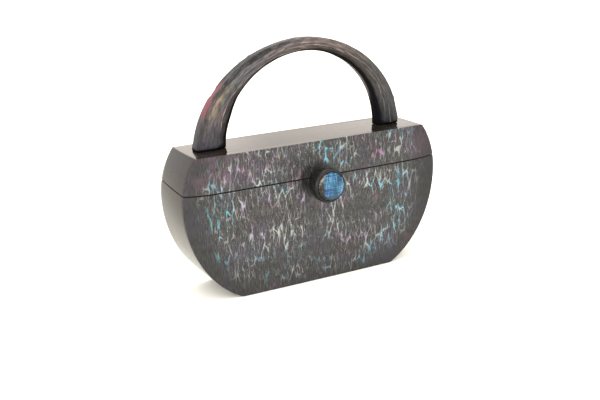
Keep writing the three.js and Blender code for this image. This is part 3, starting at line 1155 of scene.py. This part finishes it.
def handle(finish):
    """The carved arch, drawn from the right foot to the left one section by section."""
    bm = bmesh.new()
    order = bm.verts.layers.int.new("order")
    layers = {name: bm.verts.layers.float.new(name) for name in HANDLE_LAYERS}
    count = len(handle_ring(0))
    start = bmesh.ops.create_circle(bm, segments=count, radius=1, cap_ends=True)["verts"]
    for index, vert in enumerate(start):
        vert[order] = index
    set_ring(start, order, layers, 0)
    edges = bm.edges[:]
    for station in range(1, HANDLE_STATIONS + 1):
        grown = bmesh.ops.extrude_edge_only(bm, edges=edges)["geom"]
        verts = [item for item in grown if isinstance(item, bmesh.types.BMVert)]
        set_ring(verts, order, layers, math.pi * station / HANDLE_STATIONS)
        fresh = set(verts)
        edges = [item for item in grown if isinstance(item, bmesh.types.BMEdge)
                 and item.verts[0] in fresh and item.verts[1] in fresh]
    bmesh.ops.contextual_create(bm, geom=edges)
    bmesh.ops.recalc_face_normals(bm, faces=bm.faces[:])
    feet = corner_edges(bm, FOOT_CORNER, lambda middle, edge: middle.z < HANDLE_SEAT_Z + FOOT_REACH)
    soften(bm, feet, HANDLE_FOOT_ROUND, segments=2)
    return make_piece(bm, "carved_handle", [finish], "lid", ["handle"], sharp_degrees=14)


# Knob and stone

KNOB_PROFILE = [
    (0.0, 0.0), (0.0, 7.4), (0.6, 8.0), (2.5, 8.2), (4.2, 8.9), (5.6, 10.4), (7.0, 12.0), (8.6, 12.9),
    (11.5, 13.8), (15.0, 14.4), (17.6, 14.55), (19.2, 14.3), (20.4, 13.7), (21.2, 12.9), (21.6, 12.5),
    (21.7, 12.35), (21.6, 12.2), (19.6, 12.15), (19.6, 0.0),
]
STONE_PROFILE = [(19.8, 0.0), (19.8, 12.0), (22.1, 12.0), (23.1, 10.0), (23.7, 6.6), (23.7, 0.0)]


def spun(bm, profile, turns):
    """Spins a profile of (out from the front, radius) round the knob's axis."""
    verts = [bm.verts.new(point(radius, KNOB_BACK_Y - out, KNOB_Z)) for out, radius in profile]
    edges = [bm.edges.new(pair) for pair in zip(verts, verts[1:])]
    bmesh.ops.spin(bm, geom=verts + edges, cent=point(0, KNOB_BACK_Y, KNOB_Z), axis=(0, 1, 0),
                   angle=2 * math.pi, steps=turns, use_merge=True)
    bmesh.ops.remove_doubles(bm, verts=bm.verts[:], dist=SAME_PLACE)
    bmesh.ops.recalc_face_normals(bm, faces=bm.faces[:])


def knob(finish):
    bm = bmesh.new()
    spun(bm, KNOB_PROFILE, KNOB_TURNS)
    return make_piece(bm, "turned_knob", [finish], "tub", ["knob"], sharp_degrees=50)


def knob_stone(finish):
    bm = bmesh.new()
    spun(bm, STONE_PROFILE, STONE_FACETS)
    facet_edges = corner_edges(bm, FACET_CORNER, lambda middle, edge: middle.y < KNOB_BACK_Y - STONE_SEAT)
    soften(bm, facet_edges, STONE_EDGE_ROUND, segments=1)
    return make_piece(bm, "knob_blue_stone", [finish], "tub", ["knob_stone"], sharp_degrees=4)


# Hinges

def add_block(bm, low, high, radius):
    """A softened block between two corners in millimetres."""
    middle = (Vector(low) + Vector(high)) / 2
    size = Vector(high) - Vector(low)
    matrix = Matrix.Translation(middle * MM) @ Matrix.Diagonal((*(size * MM), 1))
    verts = bmesh.ops.create_cube(bm, size=1, matrix=matrix)["verts"]
    edges = list({edge for vert in verts for edge in vert.link_edges})
    soften(bm, edges, radius, segments=2)


def add_knuckle(bm, x, length):
    matrix = Matrix.Translation(point(x, HINGE_AXIS_Y, HINGE_AXIS_Z)) @ Matrix.Rotation(math.pi / 2, 4, "Y")
    made = bmesh.ops.create_cone(bm, cap_ends=True, segments=KNUCKLE_SIDES, radius1=KNUCKLE_RADIUS * MM,
                                 radius2=KNUCKLE_RADIUS * MM, depth=length * MM, matrix=matrix)["verts"]
    edges = {edge for vert in made for edge in vert.link_edges}
    ends = [edge for edge in edges if abs(edge.verts[0].co.x - edge.verts[1].co.x) < SAME_PLACE]
    soften(bm, ends, KNUCKLE_ROUND, segments=2)


def slot_tilt(x, z):
    """Each screw's slot is tilted its own way, as the turning leaves it."""
    return math.radians(SLOT_TILT + SLOT_TILT_SPREAD * math.sin(x * 1.7 + z))


def add_screw(bm, x, z):
    """A low domed screw head with a slot, on the leaf's face."""
    face_y = HINGE_AXIS_Y - KNUCKLE_RADIUS + LEAF_THICKNESS
    matrix = Matrix.Translation(point(x, face_y + SCREW_LIFT, z)) @ Matrix.Rotation(-math.pi / 2, 4, "X")
    made = bmesh.ops.create_cone(bm, cap_ends=True, segments=SCREW_SIDES, radius1=SCREW_RADIUS * MM,
                                 radius2=(SCREW_RADIUS - SCREW_TAPER) * MM, depth=SCREW_HEIGHT * MM,
                                 matrix=matrix)["verts"]
    faces = {face for vert in made for face in vert.link_faces}
    for face in faces:
        face.material_index = SCREW_FINISH
    head = max(faces, key=lambda face: face.calc_center_median().y)
    cut_slot(bm, head, point(x, face_y, z), slot_tilt(x, z))


def cut_slot(bm, head, middle, tilt):
    """Cuts a tilted slot across a screw's head."""
    across = Vector((-math.sin(tilt), 0, math.cos(tilt)))
    geometry = [head, *head.edges, *head.verts]
    for shift in (-SLOT_HALF_WIDTH, SLOT_HALF_WIDTH):
        side = middle + across * shift * MM
        cut = bmesh.ops.bisect_plane(bm, geom=geometry, plane_co=side, plane_no=across)
        geometry = cut["geom"]
    faces = [item for item in geometry if isinstance(item, bmesh.types.BMFace) and item.is_valid]
    slot = min(faces, key=lambda face: abs((face.calc_center_median() - middle).dot(across)))
    sunk = bmesh.ops.extrude_discrete_faces(bm, faces=[slot])["faces"][0]
    bmesh.ops.translate(bm, verts=sunk.verts[:], vec=point(0, -SLOT_DEPTH, 0))


def hinge_leaf(side, part, finishes):
    """One leaf of a hinge, with its knuckles round the axis and three screws."""
    bm = bmesh.new()
    centre = HINGE_X if side == "right" else -HINGE_X
    rise = 1 if part == "lid" else -1
    outer_length = (HINGE_LENGTH - LID_KNUCKLE) / 2 - KNUCKLE_GAP
    outer_x = (HINGE_LENGTH - outer_length) / 2
    knuckles = [(0, LID_KNUCKLE)] if part == "lid" else [(-outer_x, outer_length), (outer_x, outer_length)]
    low_y = HINGE_AXIS_Y - KNUCKLE_RADIUS
    high_y = low_y + LEAF_THICKNESS

    def add_plate(x, length, start, end, radius):
        low_z, high_z = sorted([HINGE_AXIS_Z + rise * start, HINGE_AXIS_Z + rise * end])
        half = length / 2
        add_block(bm, (centre + x - half, low_y, low_z), (centre + x + half, high_y, high_z), radius)

    add_plate(0, HINGE_LENGTH, LEAF_START, LEAF_START + LEAF_HEIGHT, LEAF_ROUND)
    for x, length in knuckles:
        add_plate(x, length, 0, LEAF_START + TONGUE_OVERLAP, TONGUE_ROUND)
        add_knuckle(bm, centre + x, length)
    screw_z = HINGE_AXIS_Z + rise * (LEAF_START + LEAF_HEIGHT * SCREW_ROW)
    for x, lift in SCREW_PLACES:
        add_screw(bm, centre + x, screw_z + lift * rise)
    bmesh.ops.recalc_face_normals(bm, faces=bm.faces[:])
    name = f"{side}_hinge_{part}_plate"
    return make_piece(bm, name, finishes, part, [f"hinge_{side}_{part}_leaf"])


# Stage

def make_floor(finish):
    bm = bmesh.new()
    bmesh.ops.create_grid(bm, x_segments=1, y_segments=1, size=FLOOR_HALF_WIDTH)
    mesh = bpy.data.meshes.new("floor")
    bm.to_mesh(mesh)
    bm.free()
    mesh.materials.append(finish)
    floor = bpy.data.objects.new("floor", mesh)
    bpy.context.scene.collection.objects.link(floor)


def make_world():
    """A white studio tent, brightest overhead, with a warm lit wall, a lamp and a corner behind the bag."""
    world = bpy.data.worlds.new("studio")
    bpy.context.scene.world = world
    world.use_nodes = True
    tree = world.node_tree
    tree.nodes.clear()
    s = Shade(tree)
    direction = s.add("TexCoord", out="Generated")
    height = s.add("SeparateXYZ", {}, {0: direction}, out="Z")
    color = height.ramp(TENT_STOPS)
    for middle, (rim, full), light in TENT_PATCHES:
        color = s.toward(direction, middle).rise(rim, full).blend(color, light)
    output = tree.nodes.new("ShaderNodeOutputWorld")
    s.feed(output.inputs["Surface"], s.add("Background", {}, {"Color": color}))


def make_light(name, place, aim, size, power):
    data = bpy.data.lights.new(name, "AREA")
    data.shape = "RECTANGLE"
    data.size, data.size_y = size
    data.energy = power
    light = bpy.data.objects.new(name, data)
    light.location = place
    light.rotation_euler = (Vector(aim) - Vector(place)).to_track_quat("-Z", "Y").to_euler()
    bpy.context.scene.collection.objects.link(light)


def make_camera():
    azimuth = math.radians(CAMERA_AZIMUTH)
    elevation = math.radians(CAMERA_ELEVATION)
    roll = math.radians(CAMERA_ROLL)
    back = Vector((math.sin(azimuth) * math.cos(elevation), -math.cos(azimuth) * math.cos(elevation),
                   math.sin(elevation)))
    right = Vector((math.cos(azimuth), math.sin(azimuth), 0))
    up = back.cross(right)
    turned_right = math.cos(roll) * right + math.sin(roll) * up
    turned_up = back.cross(turned_right)
    data = bpy.data.cameras.new("camera")
    data.sensor_width = SENSOR_WIDTH
    data.lens = SENSOR_WIDTH * FOCAL_PIXELS / IMAGE_WIDTH
    data.clip_start = CLIP_START
    data.clip_end = CLIP_END
    camera = bpy.data.objects.new("camera", data)
    matrix = Matrix((turned_right, turned_up, back)).transposed().to_4x4()
    matrix.translation = CAMERA_TARGET + back * CAMERA_DISTANCE
    camera.matrix_world = matrix
    bpy.context.scene.collection.objects.link(camera)
    bpy.context.scene.camera = camera


def make_studio():
    scene = bpy.context.scene
    scene.view_settings.view_transform = "Standard"
    make_world()
    make_floor(floor_paper())
    for softbox in SOFTBOXES:
        make_light(*softbox)
    make_camera()


def make_bag():
    polished = lacquer("polished_lacquer", shine=0.5, least_rough=0.1)
    satin = lacquer("satin_lacquer", shine=0.31, least_rough=0.14)
    bare = inside_wood()
    carved = carved_wood()
    turned = knob_black()
    brass = aged_brass("aged_brass", rgb(164, 138, 92), rgb(126, 102, 66))
    screw_brass = aged_brass("screw_brass", rgb(126, 106, 72), rgb(84, 68, 46))
    panels = {
        -1: crackle("crackle_front", shift=(618, 77), knob_shade=0.75),
        1: crackle("crackle_back", shift=(415, 233), knob_shade=0.0),
    }
    for part in ("tub", "lid"):
        core(part, [satin, bare, polished])
        for side, finish in panels.items():
            panel(part, side, [finish, satin, bare, polished])
        for where in ("left", "right"):
            hinge_leaf(where, part, [brass, screw_brass])
    handle(carved)
    knob(turned)
    knob_stone(blue_stone())


make_bag()
make_studio()
